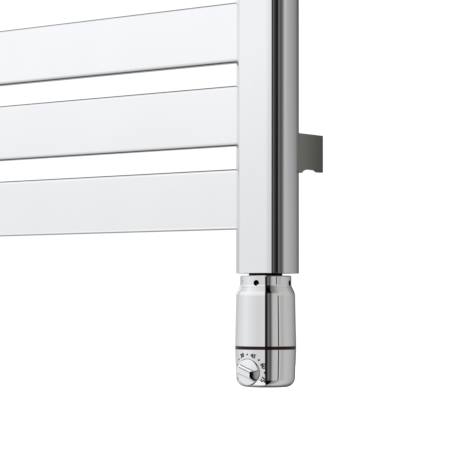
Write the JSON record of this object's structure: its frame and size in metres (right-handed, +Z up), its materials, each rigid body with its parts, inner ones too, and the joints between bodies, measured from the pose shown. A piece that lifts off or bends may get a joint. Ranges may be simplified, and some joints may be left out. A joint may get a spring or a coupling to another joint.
{
  "type": "towel radiator",
  "caption": "Chrome ladder towel radiator with flat horizontal bars, wall brackets and a round electric heater head with a temperature knob.",
  "frame": {"origin": "on the wall plane, midway between the four wall brackets", "axes": "+X to the right seen from the front, -Y out of the wall towards the room, +Z up"},
  "size_m": [0.5001, 0.0921, 0.9263],
  "materials": {
    "chrome_tube": "bright chrome plate on steel tube",
    "chrome_fitting": "bright chrome plate",
    "zinc_steel": "plain or zinc plated steel",
    "black_rubber": "matt black",
    "brass": "turned",
    "dark_red_lens": "dark red, glossy",
    "white_plastic": "moulded",
    "black_plastic": "moulded"
  },
  "bodies": {
    "radiator": {"collector_right": "chrome_tube", "collector_left": "chrome_tube", "bar_1": "chrome_tube", "bar_2": "chrome_tube", "bar_3": "chrome_tube", "bar_4": "chrome_tube", "bar_5": "chrome_tube", "bar_6": "chrome_tube", "bar_7": "chrome_tube", "bar_8": "chrome_tube", "bar_9": "chrome_tube", "blanking_plug": "chrome_fitting", "vent_body": "chrome_fitting", "spanner_collar": "chrome_fitting", "upper_housing": "chrome_fitting", "lower_housing": "chrome_fitting", "cap_bottom_right": "zinc_steel", "cap_bottom_left": "zinc_steel", "cap_top_right": "zinc_steel", "cap_top_left": "zinc_steel", "heating_rod": "zinc_steel", "sensor_pocket": "zinc_steel", "thermostat_body": "zinc_steel", "thermal_cutout": "zinc_steel", "base_screw": "zinc_steel", "bracket_upper_right": "chrome_fitting", "wall_anchor_upper_right": "zinc_steel", "clamp_screw_upper_right": "zinc_steel", "grub_screw_upper_right": "zinc_steel", "bracket_upper_left": "chrome_fitting", "wall_anchor_upper_left": "zinc_steel", "clamp_screw_upper_left": "zinc_steel", "grub_screw_upper_left": "zinc_steel", "bracket_lower_right": "chrome_fitting", "wall_anchor_lower_right": "zinc_steel", "clamp_screw_lower_right": "zinc_steel", "grub_screw_lower_right": "zinc_steel", "bracket_lower_left": "chrome_fitting", "wall_anchor_lower_left": "zinc_steel", "clamp_screw_lower_left": "zinc_steel", "grub_screw_lower_left": "zinc_steel", "head_gasket": "black_rubber", "blanking_gasket": "black_rubber", "vent_gasket": "black_rubber", "gland_seal": "black_rubber", "heater_plug": "brass", "capillary_tube": "brass", "indicator_ring": "dark_red_lens", "indicator_lamp": "dark_red_lens", "chassis": "white_plastic", "terminal_block": "black_plastic", "cable_gland": "black_plastic"},
    "thermostat_knob": {"knob": "chrome_fitting", "knob_spindle": "zinc_steel"},
    "vent_screw": {"vent_screw": "brass"}
  },
  "joints": [
    {"name": "thermostat_turn", "type": "hinge", "parent": "radiator", "child": "thermostat_knob", "pos_m": [0.225, -0.0655, -0.4932], "axis": [0, -1, 0], "range_deg": [-185, 46]},
    {"name": "vent_turn", "type": "hinge", "parent": "radiator", "child": "vent_screw", "pos_m": [-0.225, -0.0655, 0.4125], "axis": [0, 0, 1], "range_deg": [0, 360]}
  ]
}
